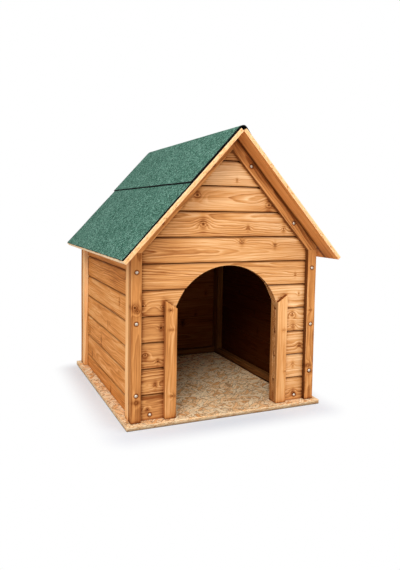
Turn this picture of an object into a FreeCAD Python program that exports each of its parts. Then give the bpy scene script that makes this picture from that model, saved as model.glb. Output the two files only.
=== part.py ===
import FreeCAD, Part
import math
import os

# Gable-roofed wooden kennel. Millimetres, +Z up, +X to the right as seen from the front,
# the front wall faces -Y. The origin is under the middle of the roof, on the ground.

# ---------------------------------------------------------------- driving dimensions
wall_wide = 800.0           # outer faces of the left and right corner posts
wall_deep = 910.0           # outer faces of the front and rear corner posts
eave_height = 650.0         # from the base board's top to the roof's underside at the outer face
roof_pitch = 47.5           # degrees from level
eave_overhang = 45.0        # roof past the side walls, measured level
verge_overhang = 90.0       # roof past the front and rear walls

base_thick = 18.0
base_overhang = 20.0        # base board past the posts, all round

board_thick = 20.0
board_rows = 11             # rows of boards from the base board to the ridge
board_recess = 18.0         # board faces lie this far behind the faces of the posts
tongue_thick = 10.0
tongue_high = 8.0
lap_clear = 0.5             # play in every board joint
board_play = 0.3            # play between the boards' sawn tops and the roof panels
scoop_high = 13.0           # height of the hollow that is worked under each joint
side_rip = 34.0             # how much of the lowest side board is sawn away

post_wide = 40.0            # posts and rafters, across their face
rafter_thick = board_recess
inner_batten_wide = 60.0    # corner battens inside, along the side walls
batten_thick = 30.0         # all battens inside
plate_high = 45.0           # top rails of the side walls, at the boards

door_wide = 440.0
door_side_height = 422.0    # straight part of the doorway, above the base board
door_rise = 156.0           # crown of the arch above the straight part
door_batten_wide = 46.0
door_batten_thick = 18.0
door_batten_drop = 31.0     # fall of the sloping batten head towards the doorway

panel_thick = 15.0
felt_thick = 4.0
ridge_felt_reach = 285.0    # how far the ridge strip runs down each slope
part_gap = 1.0              # play between the roof battens of the two slopes, each side

screw_head_r = 6.0
screw_head_high = 3.6
screw_r = 2.5
screw_dome = (4.3, 2.45)    # radius and height of a point halfway round the head's dome
screw_tip = 5.0             # length of the point
screw_drive = 5.6           # length of each slot of the cross recess
screw_slot = 1.4
screw_drive_deep = 2.0
pilot_clear = 0.1           # pilot holes, wider than the screws by this on the radius
post_screw_bite = 28.0      # how far each kind of screw reaches into the batten behind
rafter_screw_bite = 18.0
foot_screw_bite = 22.0
base_screw_bite = 20.0
sunk_head_r = 4.6
sunk_below = 0.4            # how far a sunk head's top lies below the face
pilot_over = 1.0            # how far the pilot holes run past both ends of the screws

# heights of the screws in the posts: two above the base board, one below the rafter's seat
post_screws_left = (104.0, 373.0, 71.4)
post_screws_right = (124.0, 323.0, 74.4)
post_screws_rear = (110.0, 345.0, 74.4)
rafter_screws_at = (83.0, 285.0)    # from the middle of the gable, level
foot_screw_inset = 80.0     # from the wall's outer face
foot_screw_height = 20.0
base_screw_spread = 0.7     # outermost base screws of a side, as a part of its floor batten
base_screw_step = 21.0      # front base screws stand this far aside from the foot screws

# ---------------------------------------------------------------- derived sizes
slope = math.radians(roof_pitch)
half_wide = wall_wide / 2
half_deep = wall_deep / 2
base_top = base_thick
eave_z = base_top + eave_height
ridge_z = eave_z + half_wide * math.tan(slope)
board_cover = (ridge_z - base_top) / board_rows
post_deep = board_recess + board_thick
roof_half_wide = half_wide + eave_overhang
roof_half_deep = half_deep + verge_overhang
slope_length = roof_half_wide / math.cos(slope)
face_y = half_deep                            # posts' faces, front and rear
board_y = half_deep - board_recess            # board faces
back_y = board_y - board_thick                # backs of the boards
back_x = half_wide - post_deep                # backs of the side boards
post_in_x = half_wide - post_wide             # inner edge of the front and rear posts
side_post_in_y = back_y - post_wide           # inner edge of the side posts
corner_in_x = back_x - batten_thick
corner_in_y = back_y - inner_batten_wide
rafter_drop = post_wide / math.cos(slope)     # rafter's depth measured plumb
seat_z = ridge_z - rafter_drop - post_in_x * math.tan(slope)
door_half = door_wide / 2
door_foot_z = base_top + door_side_height
door_top_z = door_foot_z + door_rise
door_in_x = door_half + door_batten_wide      # outer edge of the door battens

NODES = {}


# ---------------------------------------------------------------- helpers
def box(x0, x1, y0, y1, z0, z1):
    """A block between the given limits, in any order."""
    low = FreeCAD.Vector(min(x0, x1), min(y0, y1), min(z0, z1))
    return Part.makeBox(abs(x1 - x0), abs(y1 - y0), abs(z1 - z0), low)


def face_of(points, bends=()):
    """A flat face through the points; a pair (i, middle) makes edge i an arc through middle."""
    arcs = dict(bends)
    edges = []
    for i, start in enumerate(points):
        end = points[(i + 1) % len(points)]
        if i in arcs:
            edges.append(Part.Arc(start, arcs[i], end).toShape())
        else:
            edges.append(Part.LineSegment(start, end).toShape())
    return Part.Face(Part.Wire(edges))


def prism_y(points, y0, y1, bends=()):
    """Outline in the XZ plane, pushed from y0 to y1."""
    low, high = min(y0, y1), max(y0, y1)
    outline = [FreeCAD.Vector(x, low, z) for x, z in points]
    arcs = [(i, FreeCAD.Vector(x, low, z)) for i, (x, z) in bends]
    return face_of(outline, arcs).extrude(FreeCAD.Vector(0, high - low, 0))


def on_slope(side, along, out):
    """Point of the roof: 'along' down the slope from the ridge, 'out' square to its underside."""
    x = along * math.cos(slope) + out * math.sin(slope)
    z = ridge_z - along * math.sin(slope) + out * math.cos(slope)
    return side * x, z


def slab_on_slope(side, along0, along1, out0, out1, y0, y1):
    """A flat board lying on the slope, between the given limits along and square to it."""
    corners = [(along0, out0), (along1, out0), (along1, out1), (along0, out1)]
    return prism_y([on_slope(side, a, o) for a, o in corners], y0, y1)


def add(name, solids):
    """Keeps a node; every solid is drilled for the screws that cross it."""
    solids = solids if isinstance(solids, list) else [solids]
    NODES[name] = [drilled(solid) for solid in solids]


def drilled(solid):
    """The solid less every pilot hole that reaches it."""
    for hole in PILOTS:
        if solid.BoundBox.intersect(hole.BoundBox):
            solid = solid.cut(hole)
    return solid.Solids[0] if len(solid.Solids) == 1 else solid


def under_roof(play=0.0):
    """Everything that the roof covers, out to the outer faces of the walls."""
    top, side = ridge_z - play, eave_z - play
    outline = [(-half_wide, 0), (-half_wide, side), (0, top), (half_wide, side), (half_wide, 0)]
    return prism_y(outline, -half_deep, half_deep)


def doorway():
    """Arched opening: straight sides, then one circular arc over the full width."""
    outline = [(-door_half, 0), (-door_half, door_foot_z), (door_half, door_foot_z), (door_half, 0)]
    return prism_y(outline, -half_deep - post_deep, 0, [(1, (0, door_top_z))])


# ---------------------------------------------------------------- screws
def screw(at, out, length):
    """Pan-head wood screw: head outside the face at 'at', shank against 'out'."""
    profile = [
        FreeCAD.Vector(0, 0, screw_head_high),
        FreeCAD.Vector(screw_head_r, 0, 0),
        FreeCAD.Vector(screw_r, 0, 0),
        FreeCAD.Vector(screw_r, 0, screw_tip - length),
        FreeCAD.Vector(0, 0, -length),
    ]
    dome = FreeCAD.Vector(screw_dome[0], 0, screw_dome[1])
    body = face_of(profile, [(0, dome)]).revolve(
        FreeCAD.Vector(0, 0, 0), FreeCAD.Vector(0, 0, 1), 360)
    return placed(body.cut(cross_recess(screw_head_high)), at, out)


def sunk_screw(at, out, length):
    """Countersunk wood screw, its head level with the face."""
    profile = [
        FreeCAD.Vector(0, 0, -sunk_below),
        FreeCAD.Vector(sunk_head_r, 0, -sunk_below),
        FreeCAD.Vector(screw_r, 0, screw_r - sunk_head_r - sunk_below),
        FreeCAD.Vector(screw_r, 0, screw_tip - length),
        FreeCAD.Vector(0, 0, -length),
    ]
    body = face_of(profile).revolve(FreeCAD.Vector(0, 0, 0), FreeCAD.Vector(0, 0, 1), 360)
    return placed(body.cut(cross_recess(0)), at, out)


def cross_recess(top):
    """Two crossed slots, sunk in the head from its top."""
    corner = FreeCAD.Vector(-screw_drive / 2, -screw_slot / 2, top - screw_drive_deep)
    bar = Part.makeBox(screw_drive, screw_slot, 2 * screw_drive_deep, corner)
    across = bar.copy()
    across.rotate(FreeCAD.Vector(0, 0, 0), FreeCAD.Vector(0, 0, 1), 90)
    return bar.fuse(across)


def placed(shape, at, out):
    """Moves a shape made along +Z so that it starts at 'at' and points along 'out'."""
    turn = FreeCAD.Rotation(FreeCAD.Vector(0, 0, 1), FreeCAD.Vector(*out))
    shape.Placement = FreeCAD.Placement(FreeCAD.Vector(*at), turn)
    return shape


def pilot(at, out, length, sunk=False):
    """Room that a screw needs: its shank, and a cone for a sunk head."""
    radius = screw_r + pilot_clear
    hole = Part.makeCylinder(radius, length + pilot_over, FreeCAD.Vector(0, 0, -length - pilot_over))
    if sunk:
        head = sunk_head_r + pilot_clear
        foot = FreeCAD.Vector(0, 0, radius - head - sunk_below)
        cone = Part.makeCone(radius, head, head - radius, foot)
        rim = Part.makeCylinder(head, sunk_below + pilot_over, FreeCAD.Vector(0, 0, -sunk_below))
        hole = hole.fuse([cone, rim])
    return placed(hole, at, out)


def wall_screw_places(end, left_heights, right_heights):
    """(position, outward direction, length) of the screws of the front or rear wall."""
    out = (0, end, 0)
    places = []
    post_x = half_wide - post_wide / 2
    for side, (low, middle, below_seat) in ((-1, left_heights), (1, right_heights)):
        for z in (base_top + low, base_top + middle, seat_z - below_seat):
            places.append(((side * post_x, end * face_y, z), out, post_deep + post_screw_bite))
        for x in rafter_screws_at:
            z = ridge_z - x * math.tan(slope) - rafter_drop / 2
            places.append(((side * x, end * face_y, z), out, post_deep + rafter_screw_bite))
        foot = (side * (half_wide - foot_screw_inset), end * board_y, base_top + foot_screw_height)
        places.append((foot, out, board_thick + foot_screw_bite))
    return places


def base_screw_places():
    """Screws up through the base board into the battens that lie on it."""
    down = (0, 0, -1)
    side_x = (back_x + corner_in_x) / 2
    end_y = back_y - batten_thick / 2
    front_x = half_wide - foot_screw_inset - base_screw_step
    spots = [(s * side_x, f * corner_in_y * base_screw_spread) for s in (-1, 1) for f in (-1, 0, 1)]
    spots += [(s * front_x, -end_y) for s in (-1, 1)]
    spots += [(s * corner_in_x / 2, end_y) for s in (-1, 1)]
    return [((x, y, 0), down, base_thick + base_screw_bite) for x, y in spots]


FRONT_SCREWS = wall_screw_places(-1, post_screws_left, post_screws_right)
REAR_SCREWS = wall_screw_places(1, post_screws_rear, post_screws_rear)
BASE_SCREWS = base_screw_places()
PILOTS = [pilot(*place) for place in FRONT_SCREWS + REAR_SCREWS]
PILOTS += [pilot(*place, sunk=True) for place in BASE_SCREWS]


# ---------------------------------------------------------------- boards
def board_section(low, high, first):
    """Shiplap outline as (depth from the face, height): scoop and tongue above, rebate below."""
    tongue_at = board_thick - tongue_thick
    start = high - scoop_high
    radius = (tongue_at ** 2 + scoop_high ** 2) / (2 * tongue_at)
    turn = math.asin(scoop_high / radius) / 2
    middle = (tongue_at - radius * (1 - math.cos(turn)), high - radius * math.sin(turn))
    points = [(0, low), (0, start), (tongue_at, high), (tongue_at, high + tongue_high),
              (board_thick, high + tongue_high)]
    if first:
        points += [(board_thick, low)]
    else:
        rebate = low + tongue_high + lap_clear
        points += [(board_thick, rebate), (tongue_at - lap_clear, rebate), (tongue_at - lap_clear, low)]
    return points, [(1, middle)]


def end_wall_board(end, low, high, first):
    """One row of the front (end = -1) or rear (end = 1) wall, from post to post."""
    points, arcs = board_section(low, high, first)
    outline = [FreeCAD.Vector(-post_in_x, end * (board_y - d), z) for d, z in points]
    bends = [(i, FreeCAD.Vector(-post_in_x, end * (board_y - d), z)) for i, (d, z) in arcs]
    row = face_of(outline, bends).extrude(FreeCAD.Vector(2 * post_in_x, 0, 0))
    return row.common(under_roof(board_play))


def side_wall_board(side, low, high, first):
    """One row of a side wall, from side post to side post."""
    points, arcs = board_section(low, high, first)
    face_x = half_wide - board_recess
    outline = [FreeCAD.Vector(side * (face_x - d), -side_post_in_y, z) for d, z in points]
    bends = [(i, FreeCAD.Vector(side * (face_x - d), -side_post_in_y, z)) for i, (d, z) in arcs]
    row = face_of(outline, bends).extrude(FreeCAD.Vector(0, 2 * side_post_in_y, 0))
    return row.common(under_roof(board_play))


def end_wall_rows():
    """Lower and upper height of every row of the front and rear walls."""
    return [(base_top + row * board_cover, base_top + (row + 1) * board_cover) for row in range(board_rows)]


def side_wall_rows():
    """The lowest board is ripped; the rows go on until the roof stops them."""
    top = eave_z + post_deep * math.tan(slope)
    rows = [(base_top, base_top + board_cover - side_rip)]
    while rows[-1][1] + tongue_high < top:
        rows.append((rows[-1][1], rows[-1][1] + board_cover))
    return rows


def add_boards():
    """All wall boards: each front row is a node, each other wall is one node of separate boards."""
    opening = doorway()
    for row, (low, high) in enumerate(end_wall_rows()):
        board = end_wall_board(-1, low, high, row == 0).cut(opening)
        add("front_board_%02d" % (row + 1), board.Solids)
    rear = [end_wall_board(1, low, high, low == base_top) for low, high in end_wall_rows()]
    add("rear_wall_boards", rear)
    for side, name in ((-1, "left"), (1, "right")):
        rows = [side_wall_board(side, low, high, low == base_top) for low, high in side_wall_rows()]
        add("%s_wall_boards" % name, rows)


# ---------------------------------------------------------------- frame
def rafter(side, end):
    """Gable rafter: plumb cut at the ridge and the wall's face, level seat on the post."""
    outline = [(0, ridge_z), (side * half_wide, eave_z), (side * half_wide, seat_z),
               (side * post_in_x, seat_z), (0, ridge_z - rafter_drop)]
    return prism_y(outline, end * face_y, end * (face_y - rafter_thick))


def roof_batten(side, end):
    """Batten under a roof panel, close behind the gable; the rafter screws bite in it."""
    fall = math.tan(slope)
    top, foot = part_gap, corner_in_x - part_gap
    outline = [(side * top, ridge_z - top * fall), (side * foot, ridge_z - foot * fall),
               (side * foot, ridge_z - foot * fall - rafter_drop),
               (side * top, ridge_z - top * fall - rafter_drop)]
    return prism_y(outline, end * back_y, end * (back_y - batten_thick))


def add_corner(side, side_name, end, end_name):
    """The two posts of a corner, the batten inside it, and what rises from it."""
    roofed = under_roof()
    seat = rafter(side, end)
    post = box(side * half_wide, side * post_in_x, end * face_y, end * back_y, base_top, ridge_z)
    add("%s_post_%s" % (end_name, side_name), post.common(roofed).cut(seat))
    side_post = box(side * half_wide, side * back_x, end * back_y, end * side_post_in_y, base_top, ridge_z)
    add("side_post_%s_%s" % (end_name, side_name), side_post.common(roofed))
    inner = box(side * back_x, side * corner_in_x, end * back_y, end * corner_in_y, base_top, ridge_z)
    add("corner_batten_%s_%s" % (end_name, side_name), inner.common(roofed))
    add("gable_rafter_%s_%s" % (end_name, side_name), seat)
    add("roof_batten_%s_%s" % (end_name, side_name), roof_batten(side, end))


def add_side(side, name):
    """Battens inside a side wall: one on the base board, one under the roof."""
    foot = box(side * back_x, side * corner_in_x, -corner_in_y, corner_in_y, base_top,
               base_top + batten_thick)
    add("floor_batten_%s" % name, foot)
    plate_top = eave_z + post_deep * math.tan(slope)
    plate = box(side * back_x, side * corner_in_x, -corner_in_y, corner_in_y,
                plate_top - plate_high, ridge_z)
    add("wall_plate_%s" % name, plate.common(under_roof()))


def add_door(side, name):
    """Battens beside the doorway, outside and inside, and the floor batten next to them."""
    head_out = door_foot_z + door_batten_drop
    outline = [(side * door_half, base_top), (side * door_in_x, base_top),
               (side * door_in_x, head_out), (side * door_half, door_foot_z)]
    add("door_batten_%s" % name, prism_y(outline, -board_y - door_batten_thick, -board_y))
    inside = box(side * door_half, side * door_in_x, -back_y, -back_y + door_batten_thick,
                 base_top, head_out)
    add("inner_door_batten_%s" % name, inside)
    foot = box(side * door_in_x, side * corner_in_x, -back_y, -back_y + batten_thick,
               base_top, base_top + batten_thick)
    add("floor_batten_front_%s" % name, foot)


def add_base():
    """The base board and the batten on it along the rear wall."""
    base = box(-half_wide - base_overhang, half_wide + base_overhang,
               -half_deep - base_overhang, half_deep + base_overhang, 0, base_top)
    add("base_board", base)
    rear = box(-corner_in_x, corner_in_x, back_y, back_y - batten_thick, base_top,
               base_top + batten_thick)
    add("floor_batten_rear", rear)


# ---------------------------------------------------------------- roof
def ridge_felt():
    """Felt strip folded over the ridge: two flat legs joined by an arc about the ridge line."""
    inner, outer = panel_thick + felt_thick, panel_thick + 2 * felt_thick
    outline = [on_slope(-1, ridge_felt_reach, outer), on_slope(-1, 0, outer),
               on_slope(1, 0, outer), on_slope(1, ridge_felt_reach, outer),
               on_slope(1, ridge_felt_reach, inner), on_slope(1, 0, inner),
               on_slope(-1, 0, inner), on_slope(-1, ridge_felt_reach, inner)]
    bends = [(1, (0, ridge_z + outer)), (5, (0, ridge_z + inner))]
    return prism_y(outline, -roof_half_deep, roof_half_deep, bends)


def add_roof():
    """Panels cut square, so that they meet at their inner corners only, and the felt on them."""
    for side, name in ((-1, "left"), (1, "right")):
        panel = slab_on_slope(side, 0, slope_length, 0, panel_thick, -roof_half_deep, roof_half_deep)
        add("roof_panel_%s" % name, panel)
        felt = slab_on_slope(side, 0, slope_length, panel_thick, panel_thick + felt_thick,
                             -roof_half_deep, roof_half_deep)
        add("roof_felt_%s" % name, felt)
    add("ridge_felt", ridge_felt())


# ---------------------------------------------------------------- build and export
add_base()
for side, side_name in ((-1, "left"), (1, "right")):
    for end, end_name in ((-1, "front"), (1, "rear")):
        add_corner(side, side_name, end, end_name)
    add_side(side, side_name)
    add_door(side, side_name)
add_boards()
add_roof()
NODES["front_wall_screws"] = [screw(*place) for place in FRONT_SCREWS]
NODES["rear_wall_screws"] = [screw(*place) for place in REAR_SCREWS]
NODES["base_screws"] = [sunk_screw(*place) for place in BASE_SCREWS]

os.makedirs("parts", exist_ok=True)
for name, solids in NODES.items():
    shape = solids[0] if len(solids) == 1 else Part.makeCompound(solids)
    shape.exportStep("parts/%s.step" % name)
    print("%-28s %2d solid(s) %10.1f cm3" % (name, len(shape.Solids), shape.Volume / 1000))
print("nodes", len(NODES), "ridge", round(ridge_z, 2), "board cover", round(board_cover, 2))
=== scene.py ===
import bmesh
import bpy
import math
import numpy as np
from functools import partial
from mathutils import Matrix, Vector


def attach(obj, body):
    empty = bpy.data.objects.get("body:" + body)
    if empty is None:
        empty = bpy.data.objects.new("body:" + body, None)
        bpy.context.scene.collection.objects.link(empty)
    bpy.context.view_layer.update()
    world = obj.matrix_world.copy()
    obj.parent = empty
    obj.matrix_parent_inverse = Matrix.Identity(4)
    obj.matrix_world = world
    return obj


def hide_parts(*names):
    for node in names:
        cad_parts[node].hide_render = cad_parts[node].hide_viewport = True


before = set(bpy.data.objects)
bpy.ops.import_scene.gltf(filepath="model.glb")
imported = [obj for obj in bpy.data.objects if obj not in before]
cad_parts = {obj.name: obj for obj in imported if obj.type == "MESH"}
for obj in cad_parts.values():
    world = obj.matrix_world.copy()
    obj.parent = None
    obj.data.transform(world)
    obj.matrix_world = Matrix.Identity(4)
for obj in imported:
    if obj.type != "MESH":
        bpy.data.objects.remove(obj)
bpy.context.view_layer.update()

# ======== sizes, in metres
WALL_X, WALL_Y = 0.400, 0.455           # outer faces of the corner posts
BASE_TOP = 0.018
PITCH = math.radians(47.5)
FALL = math.tan(PITCH)
EAVE_Z = 0.668                          # underside of the roof over the posts' outer faces
RIDGE_Z = EAVE_Z + WALL_X * FALL        # and at the ridge
EAVE_X, VERGE_Y = 0.445, 0.545
SLOPE = EAVE_X / math.cos(PITCH)        # length of a roof panel down the slope
PANEL, FELT = 0.015, 0.004
STRIP_REACH = 0.285                     # ridge strip, down each slope
BOARD, RECESS = 0.020, 0.018
ROWS = 11
COVER = (RIDGE_Z - BASE_TOP) / ROWS
SIDE_RIP = 0.034
TONGUE, TONGUE_HIGH, SCOOP_HIGH = 0.010, 0.008, 0.013
PLAY, ROOF_PLAY = 0.0005, 0.0003        # between boards, and between boards and roof
BOARD_Y, BOARD_X = WALL_Y - RECESS, WALL_X - RECESS
BACK_Y, BACK_X = BOARD_Y - BOARD, BOARD_X - BOARD
POST = 0.040
POST_IN_X = WALL_X - POST
SIDE_POST_Y = BACK_Y - POST
BATTEN, PLATE = 0.030, 0.045
CORNER_X, CORNER_Y = BACK_X - BATTEN, BACK_Y - 0.060
RAFTER_DROP = POST / math.cos(PITCH)
SEAT_Z = RIDGE_Z - RAFTER_DROP - POST_IN_X * FALL
DOOR, DOOR_FOOT, DOOR_TOP = 0.220, 0.440, 0.596
DOOR_BATTEN, DOOR_BATTEN_THICK, DOOR_DROP = 0.046, 0.018, 0.031
DOOR_EDGE = DOOR + DOOR_BATTEN
ARCH_R = (DOOR ** 2 + (DOOR_TOP - DOOR_FOOT) ** 2) / (2 * (DOOR_TOP - DOOR_FOOT))
ARCH_Z = DOOR_TOP - ARCH_R
EASE, SAWN_EASE, FELT_EASE = 0.0014, 0.0008, 0.0009     # rounding of planed, sawn and knife-cut edges
SHORT = 0.0012                          # boards end this much short of the posts
BESIDE = 0.003                          # a line of points this far from an edge keeps faces flat
STEP, SHEET_STEP, FELT_STEP = 0.02, 0.03, 0.012     # distance between lines of points
SKIN = 0.0004                           # what lies this near a face belongs to it
MERGE = 2e-5                            # points this near each other are one
UNEVEN = 0.0004                         # how far sawn faces and felt wander from flat
RIDGE_PLAY, BATTEN_PLAY = 0.0002, 0.001     # rafters and roof battens stop this far from the middle
RING = 0.0075                           # from one drawn growth ring to the next
OVERHANG = 0.020                        # base board, past the walls
BARE_FOOT, BARE_VERGE = 0.005, 0.008    # granules stop this far from the felts' cut edges
FELT_LINES = (BARE_VERGE - VERGE_Y, VERGE_Y - BARE_VERGE)

# places of the screw heads in a wall's face, as (x, height)
POST_MIDDLE = WALL_X - POST / 2
TOP_SCREW = {"left": SEAT_Z - 0.0714, "right": SEAT_Z - 0.0744, "rear": SEAT_Z - 0.0744}
POST_SCREWS = {"left": (0.122, 0.391), "right": (0.142, 0.341), "rear": (0.128, 0.363)}
RAFTER_SCREWS = (0.083, 0.285)
FOOT_SCREW = (WALL_X - 0.080, 0.038)


def stand(name, data):
    """A new object in the scene."""
    made = bpy.data.objects.new(name, data)
    bpy.context.scene.collection.objects.link(made)
    return made


# ======== shapes
def wave(points, seed, size):
    """Slow unevenness of sawn timber: the mean of six sines, each of the distance along a random
    direction with a wavelength near 'size', so about -1 to 1."""
    rng = np.random.default_rng(seed)
    way = rng.normal(size=(6, 3))
    way *= (2 * np.pi / size) * rng.uniform(0.6, 1.7, (6, 1)) / np.linalg.norm(way, axis=1)[:, None]
    return np.sin(points @ way.T + rng.uniform(0, 2 * np.pi, 6)).sum(-1) / 3


def stops(run, pitch, least):
    """Where lines of points cross a run, as fractions of it: about 'pitch' apart and, on a run
    longer than 'least', also just beside its two ends."""
    t = np.linspace(0, 1, max(int(round(run / pitch)), 1) + 1)[1:-1]
    return np.concatenate([[BESIDE / run], t, [1 - BESIDE / run]]) if run > least else t


def outline(corners, ease=EASE, pitch=STEP):
    """Closed loop round a flat shape. Each corner is replaced by the quadratic curve between the
    two points that lie 'reach' from it, (1-u)^2 A + 2u(1-u) C + u^2 B, and the straight runs are
    divided into steps of about 'pitch'. Returns the points and their painted arris highlight,
    1 on a corner."""
    corners = np.array(corners, float)
    area = corners[:, 0] @ np.roll(corners[:, 1], -1) - corners[:, 1] @ np.roll(corners[:, 0], -1)
    if area < 0:
        corners = corners[::-1]
    arcs = []
    for before, here, after in zip(np.roll(corners, 1, 0), corners, np.roll(corners, -1, 0)):
        a, b = before - here, after - here
        long_a, long_b = np.linalg.norm(a), np.linalg.norm(b)
        turn = math.acos(np.clip(a @ b / (long_a * long_b), -1, 1))
        if turn > math.radians(155):
            arcs.append(here[None])
            continue
        reach = min(ease / math.tan(turn / 2), 0.4 * long_a, 0.4 * long_b)
        u = np.linspace(0, 1, 4)[:, None]
        start, end = here + a / long_a * reach, here + b / long_b * reach
        arcs.append((1 - u) ** 2 * start + 2 * u * (1 - u) * here + u ** 2 * end)
    points, wear = [], []
    for arc, following in zip(arcs, arcs[1:] + arcs[:1]):
        run = np.linalg.norm(following[0] - arc[-1])
        t = np.unique(stops(run, pitch, 4 * BESIDE))
        points += [arc, arc[-1] + t[:, None] * (following[0] - arc[-1])]
        wear += [np.full(len(arc), 1.0 if len(arc) > 1 else 0.0), np.zeros(len(t))]
    return np.concatenate(points), np.concatenate(wear)


def box(x0, x1, z0, z1):
    return [(x0, z0), (x1, z0), (x1, z1), (x0, z1)]


def stick(loop, start, end, ease=EASE, pitch=STEP, extra=()):
    """Solid made by carrying the loop from start to end. Ring k lies at start + f(end-start) + g,
    and its loop is drawn in by the inset i. On an eased end g = ease(1-cos q), i = ease(1-sin q)
    for q from 0 to 90 degrees. start and end may be functions of the loop's points. Gives the
    rings as (rows, points, 3) of (way, first, second), with their painted arris highlight and
    their end mark."""
    points, wear = loop
    tangent = np.roll(points, -1, 0) - np.roll(points, 1, 0)
    normal = np.stack([tangent[:, 1], -tangent[:, 0]], 1)
    normal /= np.linalg.norm(normal, axis=1)[:, None] + 1e-12
    first = start(points) if callable(start) else np.full(len(points), float(start))
    last = end(points) if callable(end) else np.full(len(points), float(end))
    span = float(np.max(last - first))
    q = np.linspace(0, np.pi / 2, 4)
    g = ease * (1 - np.cos(q))
    inset = ease * (1 - np.sin(q))
    f = stops(span, pitch, STEP)
    if len(extra):
        f = np.concatenate([f, (np.array(extra) - start) / (end - start)])
    f = np.unique(f)
    f_all = np.concatenate([np.zeros(4), f, np.ones(4)])
    g_all = np.concatenate([g, np.zeros(len(f)), -g[::-1]])
    i_all = np.concatenate([inset, np.zeros(len(f)), inset[::-1]])
    way = first + f_all[:, None] * (last - first) + g_all[:, None]
    flat = points[None] - i_all[:, None, None] * normal[None]
    rings = np.concatenate([way[..., None], flat], -1)
    worn = np.maximum(wear[None, :], ((i_all > 0) & (i_all < ease)).astype(float)[:, None])
    ends = np.broadcast_to((i_all >= ease * 0.99).astype(float)[:, None], worn.shape)
    return rings, worn, ends


def shell(rings, folded=False):
    """Faces of a tube of rings: a square between each four neighbours, and flat ends. The end of
    a folded strip is a row of squares from point j of its one side to point n-1-j, which faces it
    on the other side, and one small face at each of its two short edges."""
    rows, n = rings.shape[:2]
    i = np.arange(rows - 1)[:, None] * n
    j = np.arange(n)[None]
    k = (np.arange(n)[None] + 1) % n
    quads = np.stack(np.broadcast_arrays(i + j, i + k, i + n + k, i + n + j), -1).reshape(-1, 4)
    if not folded:
        return quads, [np.arange(n)[::-1], np.arange(n) + (rows - 1) * n]
    j = np.arange(3, n // 2 - 4)
    middle = np.stack([j, j + 1, n - 2 - j, n - 1 - j], 1)
    first = np.arange(-4, 4) % n
    last = np.arange(j[-1] + 1, n - 1 - j[-1])
    caps = [middle + offset for offset in (0, (rows - 1) * n)]
    quads = np.concatenate([quads, *caps])
    return quads, [ends + offset for offset in (0, (rows - 1) * n) for ends in (first, last)]


def timber(rings_wear_ends, to_xyz, along, across, seed, knots=(), heart=None, tone=0.0,
           taper=None, lean=0.0, screws=(), shape=None, inner=None, pooled=None, gap=None):
    """One solid piece of timber, put in place by to_xyz(way, first, second). Its grain
    coordinates are the distances from the piece's middle along the stem, and from the stem's
    heart across and into it: s = (P-M).along, t = (P-M).across - heart, w = (P-M).deep - heart.
    Its darkness is tone + lean (P.along). Its faces are uneven by up to about 0.4 mm."""
    rings, wear, ends = rings_wear_ends
    rng = np.random.default_rng(seed)
    p = np.stack(np.broadcast_arrays(*to_xyz(rings[..., 0], rings[..., 1], rings[..., 2])), -1)
    if shape is not None:
        p = shape(p)
    flat = p.reshape(-1, 3)
    middle = (flat.min(0) + flat.max(0)) / 2
    along, across = np.array(along, float), np.array(across, float)
    deep = np.cross(along, across)
    if heart is None:
        heart = (rng.uniform(-0.05, 0.05), rng.uniform(0.03, 0.07) * rng.choice([-1, 1]))
    if taper is None:
        taper = rng.uniform(0.010, 0.030) * rng.choice([-1, 1])
    shift = 3.0 * seed % 97
    rel = flat - middle
    grain = np.stack([rel @ along + shift, rel @ across - heart[0], rel @ deep - heart[1]], 1)
    marks = []
    for x, y, z, size in knots:
        k = np.array([x, y, z]) - middle
        marks.append((k @ along + shift, k @ across - heart[0], size))
    marks += [(0, 0, 0)] * (3 - len(marks))
    heads = (list(screws) + [(9.0, 9.0, 9.0)] * 3)[:3]         # 9 m off stands for none
    level = tone + rng.uniform(-0.06, 0.06) + lean * (flat @ along)
    uneven = np.stack([wave(flat, seed + n, 0.35) for n in (1, 2, 3)], 1) * UNEVEN
    quads, caps = shell(p)
    count = len(flat)
    near = np.full(count, 1.0) if gap is None else gap(flat)
    return {
        "points": flat + uneven, "quads": quads, "caps": caps,
        "grain": grain, "wear": wear.ravel(), "stem": np.tile(along, (count, 1)),
        "inner": np.zeros(count) if inner is None else inner(flat) * (1 - ends.ravel()),
        "pooled": np.zeros(count) if pooled is None else pooled(rings[..., 1:].reshape(-1, 2), near),
        "gap": near,
        "tone": np.stack([level, 0 * level, 0 * level + taper], 1),
        **{"knot_" + mark: np.tile(marks[n], (count, 1)) for n, mark in enumerate("abc")},
        **{"screw_" + mark: np.tile(heads[n], (count, 1)) for n, mark in enumerate("abc")},
    }


def face_data(mesh, field):
    """The faces' normals or middles, as rows of three."""
    data = np.zeros(len(mesh.polygons) * 3, np.float32)
    mesh.polygons.foreach_get(field, data)
    return data.reshape(-1, 3)


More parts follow.
